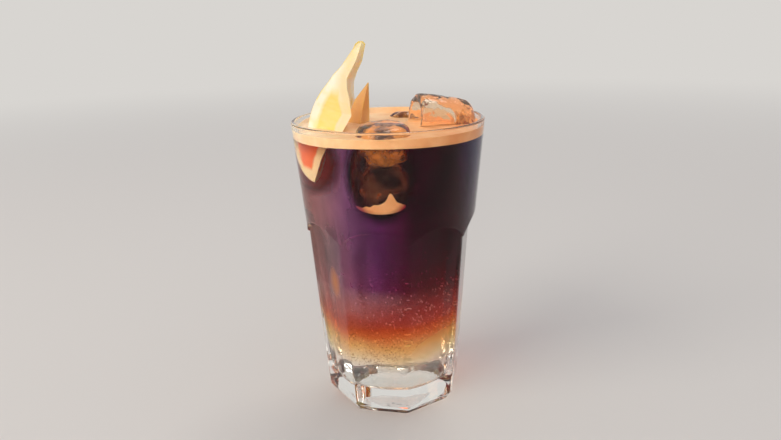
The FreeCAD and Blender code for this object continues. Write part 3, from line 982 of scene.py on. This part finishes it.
# %% Model the foam caught in the mouth
def caught_point(ring, turn):
    """A thin crescent against the wall, with one peak: front face, then back face."""
    share = min(ring, 24 - ring) / 12
    across = share * math.sin(turn)
    room = math.sqrt(max(1 - across ** 2, 1e-6))
    upwards = 0.5 + 0.5 * share * math.cos(turn) / room if share else 0.5
    low = 95.6 + 3.6 * (1 - room)
    peak = 4.6 * math.exp(-((across - 0.42) / 0.17) ** 2)
    lump = 0.7 * noise.noise(Vector((across * 6, 3.1, 0)))
    filled = 2.6 + 2.4 * min(max(across + 0.75, 0), 1) + lump
    level = low + upwards * (room * filled + peak * room)
    bearing = math.radians(6.0 + 16.0 * across)
    depth = -0.05 if ring <= 12 else 0.1 + 1.1 * (1 - share ** 3)
    return on_circle(inner_radius(level) - depth, level, bearing)


caught = skin("foam_caught_in_mouth", 25, 96, caught_point)
smooth(caught, 40)
wear(caught, crema_foam)
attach(caught, "root")

# %% [markdown]
# ## Bubbles
# Tonic is fizzy. Bubbles cling to the wall and rise, small at the foot and
# larger higher up. One ball of a few dozen faces is modelled, and each bubble is
# its copy, set just inside the wall by a seeded random choice.

# %% Bubble finish
def bubble_finish(name, colour, cover):
    material, tree = new_finish(name)
    ball = node(tree, "BsdfPrincipled", {
        "Base Color": linear(colour), "Roughness": 0.15, "Alpha": cover})
    node(tree, "OutputMaterial", {"Surface": ball})
    return material


# gas in tonic is a small round mirror: a pale dot, a painted highlight as if it faced the light
fizz_painted_highlight = bubble_finish("bubble_painted_highlight", "fff4ec", 0.95)
# and a dark dot, painted shade as if it faced away
fizz_painted_shade = bubble_finish("bubble_painted_shade", "7a5440", 0.8)

# %% Scatter the bubbles
FIZZ_SEED = 7
random.seed(FIZZ_SEED)


def scatter(new_name, finish, count, low, high, turn, spread, smallest, largest):
    """Joined bubbles between two levels, most of them about one bearing."""
    bpy.ops.object.select_all(action="DESELECT")
    bpy.ops.mesh.primitive_uv_sphere_add(segments=8, ring_count=6, radius=1)
    pattern = bpy.context.object
    copies = []
    for number in range(count):
        level = low + (high - low) * random.betavariate(1.5, 1.8)
        bearing = random.gauss(turn, spread) if number % 3 else random.uniform(-180, 180)
        size = smallest + (largest - smallest) * random.random() ** 2
        depth = size + 0.03 + 1.2 * random.random() ** 4
        spot = Vector(on_circle(inner_radius(level) - depth, level, math.radians(bearing)))
        copy = pattern.copy()
        copy.data = pattern.data.copy()
        copy.data.transform(Matrix.Translation(spot * MM) @ Matrix.Scale(size * MM, 4))
        SHOWN.link(copy)
        copies.append(copy)
    bpy.data.objects.remove(pattern)
    bpy.ops.object.select_all(action="DESELECT")
    for copy in copies:
        copy.select_set(True)
    bpy.context.view_layer.objects.active = copies[0]
    bpy.ops.object.join()
    bubbles = bpy.context.object
    bubbles.name = bubbles.data.name = new_name
    bpy.ops.object.shade_smooth()
    wear(bubbles, finish)
    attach(bubbles, "root")
    print(new_name, count, "faces:", len(bubbles.data.polygons))


# one set carries a painted highlight, the other painted shade
scatter("bubbles_painted_highlight", fizz_painted_highlight, 620, 22, 66, 40, 36, 0.2, 0.42)
scatter("bubbles_painted_shade", fizz_painted_shade, 650, 20, 38, 20, 45, 0.16, 0.3)

# %% [markdown]
# ## Lemon
# A wedge cut lengthwise shows three things: a yellow rind, a pale pith under it,
# and flesh made of small juice sacs that run from the rind to the core. The sacs
# sit a little lower than the pith around them. The wedge is a skin of rings up
# its core, each a slice of pie, so flesh and pith can be modelled as relief.

# %% Lemon finish
def lemon_finish(name, juicy, dry, pith, core_colour_with_painted_shade, peel_colour):
    material, tree = new_finish(name)
    zone, peel, out, along = [
        node(tree, "Attribute", attribute_name=chart).outputs["Fac"]
        for chart in ("pith", "rind", "out", "along")]
    chart = node(tree, "CombineXYZ", {0: out, 1: along})
    stretch = node(tree, "Mapping", {"Vector": chart, "Scale": (0.22, 0.7, 1.0)})
    sacs = node(tree, "TexVoronoi", {"Vector": stretch, "Scale": 1.0})
    flesh = node(tree, "ValToRGB", {"Fac": sacs.outputs["Distance"]}, stops=[
        (0.1, linear(juicy)), (0.8, linear(dry))])
    # painted shade: near the core the cream pith is tinted peach, as the narrow face beside the
    # core lies in shade
    core = node(tree, "MapRange", {"Value": out, "From Min": 3.0, "From Max": 8.0})
    white = node(tree, "Mix", {
        "Factor": core, 6: linear(core_colour_with_painted_shade), 7: linear(pith)}, data_type="RGBA")
    with_pith = node(tree, "Mix", {"Factor": zone, 6: flesh, 7: white.outputs[2]},
        data_type="RGBA")
    with_rind = node(tree, "Mix", {
        "Factor": peel, 6: with_pith.outputs[2], 7: linear(peel_colour)},
        data_type="RGBA")
    place = node(tree, "TexCoord").outputs["Object"]
    parts = node(tree, "SeparateXYZ", {0: place})
    soaked = node(tree, "MapRange", {
        "Value": parts.outputs["Z"], "From Min": 126 * MM, "From Max": 122 * MM})
    stain = node(tree, "Mix", {
        "Factor": zone, 6: linear("ff7a2a"), 7: linear("ffecc0")}, data_type="RGBA")
    mottle = node(tree, "TexNoise", {"Vector": place, "Scale": 1 / (5 * MM), "Detail": 2.0})
    blush = node(tree, "MapRange", {
        "Value": mottle.outputs["Fac"], "From Min": 0.48, "From Max": 0.68, "To Max": 0.45})
    tinted = node(tree, "Mix", {
        "Factor": blush, 6: with_rind.outputs[2], 7: linear(juicy)}, data_type="RGBA")
    coloured = node(tree, "Mix", {
        "Factor": soaked, 6: tinted.outputs[2], 7: stain.outputs[2]}, data_type="RGBA")
    bump = node(tree, "Bump", {
        "Height": sacs.outputs["Distance"], "Strength": 0.5, "Distance": 0.2 * MM})
    body = node(tree, "BsdfPrincipled", {
        "Base Color": coloured.outputs[2], "Roughness": 0.35, "Normal": bump,
        "Subsurface Weight": 0.35, "Subsurface Radius": (1.0, 0.8, 0.3),
        "Subsurface Scale": 3 * MM})
    node(tree, "OutputMaterial", {"Surface": body})
    return material


# fresh lemon, cut by knife: wet flesh with a low gloss, chalky pith, bright rind
fresh_lemon = lemon_finish("fresh_cut_lemon", "f6dc8a", "f2d878", "f9f0d6", "f5dcae", "ffd446")
# the same lemon with painted shade: every colour darker and more amber, for the wedge that stands
# in shade behind
painted_shade_lemon = lemon_finish(
    "lemon_with_painted_shade", "e6ae58", "dca04a", "ecba74", "e0a868", "d89c3c")

# %% Find a wedge in the frame
def wedge_frame(name):
    """Matrix, length, depth and half angle of a wedge's solid, in millimetres."""
    points = [vertex.co / MM for vertex in frame["nodes"][name].data.vertices]
    tip = max(points, key=lambda point: point.z)
    heel = max(points, key=lambda point: (point - tip).length)
    axis = (tip - heel).normalized()
    ahead = axis.orthogonal().normalized()
    side = axis.cross(ahead)
    reach = [((point - heel).dot(ahead), (point - heel).dot(side)) for point in points]
    depth = max(math.hypot(*pair) for pair in reach)
    total = Vector((0, 0))
    for pair in reach:
        if math.hypot(*pair) > depth / 2:
            total += Vector(pair).normalized()
    middle = math.atan2(total.y, total.x)
    turns = [math.atan2(pair[1], pair[0]) - middle for pair in reach
             if math.hypot(*pair) > depth / 2]
    turns = [(turn + math.pi) % (2 * math.pi) - math.pi for turn in turns]
    middle += (max(turns) + min(turns)) / 2
    outward = ahead * math.cos(middle) + side * math.sin(middle)
    matrix = Matrix((outward, axis.cross(outward), axis)).transposed().to_4x4()
    matrix.translation = heel
    return matrix, (tip - heel).length, depth, (max(turns) - min(turns)) / 2


# %% Model the wedges
RINGS_UP = 110
ROUND_WEDGE = 168
# rings nearer to the tip than this, in millimetres, close to one point
TIP_CLOSES = 0.1
# shares of a ring: each cut face, and the rind between them
CUT_SHARE = 0.4
RIND_SHARE = 0.2


def nudged(cut, height, edge):
    """How far a hand-cut wedge strays sideways at a share of its height.

    cut lists (height, left edge, ridge, right edge); edge is -1, 0 or 1 for those three.
    """
    for low, high in zip(cut, cut[1:]):
        if height <= high[0] or high is cut[-1]:
            share = min(max((height - low[0]) / (high[0] - low[0]), 0), 1)
            left, ridge, right = [blend(a, b, share) for a, b in zip(low[1:], high[1:])]
            return blend(ridge, right, edge) if edge > 0 else blend(ridge, left, -edge)


def model_wedge(name, new_name, finish, cut, lift):
    matrix, length, depth, half = wedge_frame(name)
    sideways = matrix.to_3x3().inverted() @ across
    upwards = matrix.to_3x3().inverted() @ Vector((0, 0, 1))
    left_side = -1 if sideways.y > 0 else 1
    shoulder = math.asin(depth / (length - depth))
    shoulder_level = depth + depth * math.sin(shoulder)

    def rind_radius(level):
        if level < shoulder_level:
            return math.sqrt(max(depth ** 2 - (level - depth) ** 2, 0))
        return (length - level) * math.tan(shoulder)

    def stray(height, edge):
        return (sideways * nudged(cut, height, -edge * left_side)
                + upwards * lift * height ** 2)

    def zones(out, level, rim):
        """Shares of pith and rind at a point of the cut face."""
        to_rind = rim - out
        fray = noise.noise(Vector((level / 5, out / 5, length)))
        band = blend(4.6, 4.0, level / length) + 0.8 * fray
        edge = min(to_rind - band, out - blend(3.5, 6.5, level / length) - 0.8 * fray,
                   (length * 0.62 - level) * 0.35, level - 5.0)
        return min(max(0.5 - edge / 1.6, 0), 1), 1 if to_rind < 0.3 else 0

    def place(ring, bearing):
        share = (bearing + math.pi) / (2 * math.pi)
        level = length * (1 - math.cos(ring / (RINGS_UP - 1) * math.pi)) / 2
        if length - level < TIP_CLOSES:
            level = length
        rim = rind_radius(level)
        if rim == 0:
            return (*(Vector((0, 0, level)) + stray(level / length, 0)), 1, 0, 0, level)
        if CUT_SHARE <= share <= 1 - CUT_SHARE:
            spread = blend(-half, half, (share - CUT_SHARE) / RIND_SHARE)
            bumps = 0.2 * noise.noise(Vector((spread * rim, level, 0)) / 1.5)
            out = max(rim - 0.2 + bumps, 0)
            point = Vector((out * math.cos(spread), out * math.sin(spread), level))
            point += stray(level / length, spread / half)
            return (*point, 0, 1, out, level)
        side = -1 if share < CUT_SHARE else 1
        out = rim * min(share, 1 - share) / CUT_SHARE
        pith, rind = zones(out, level, rim)
        sink = 0.55 * (1 - pith) * min(1, rim / 6)
        point = Vector((out * math.cos(half), side * out * math.sin(half), level))
        point += Vector((math.sin(half), -side * math.cos(half), 0)) * sink
        point += stray(level / length, side * out / max(rim, 0.01))
        return (*point, pith, rind, out, level)

    wedge = skin(new_name, RINGS_UP, ROUND_WEDGE, place, ("pith", "rind", "out", "along"))
    mesh = wedge.data
    mesh.transform(Matrix.Scale(MM, 4) @ matrix @ Matrix.Scale(1 / MM, 4))
    smooth(wedge, 50)
    wear(wedge, finish)
    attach(wedge, "root")
    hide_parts(name)
    print(new_name, "faces:", len(mesh.polygons), "length", round(length, 1))


FRONT_CUT = [(0.0, 0, 0, 0), (0.2, 0, 0.8, -2.5), (0.37, -0.8, 3.4, -6.0), (0.47, -1.5, 5.0, -4.0),
             (0.52, -2.0, 3.8, -3.4), (0.60, -2.4, 1.9, -1.5), (0.66, -2.1, 0, -2.1),
             (0.74, -2.0, -1.4, -2.1), (0.80, -1.0, -0.5, -1.0), (0.87, -1.0, 0.3, 0.9),
             (0.94, -1.0, 0.5, 1.6), (0.98, -1.5, 0.5, 2.0), (1.0, -0.8, 0.2, 0.8)]
BACK_CUT = [(0.0, 0, 0, 0), (0.4, -2.0, 0, 1.0), (0.8, -3.4, 0, 1.4), (1.0, 1.0, 1.0, 1.4)]
model_wedge("lemon_front", "lemon_wedge_front", fresh_lemon, FRONT_CUT, 0.0)
model_wedge("lemon_back", "lemon_wedge_back", painted_shade_lemon, BACK_CUT, 2.0)
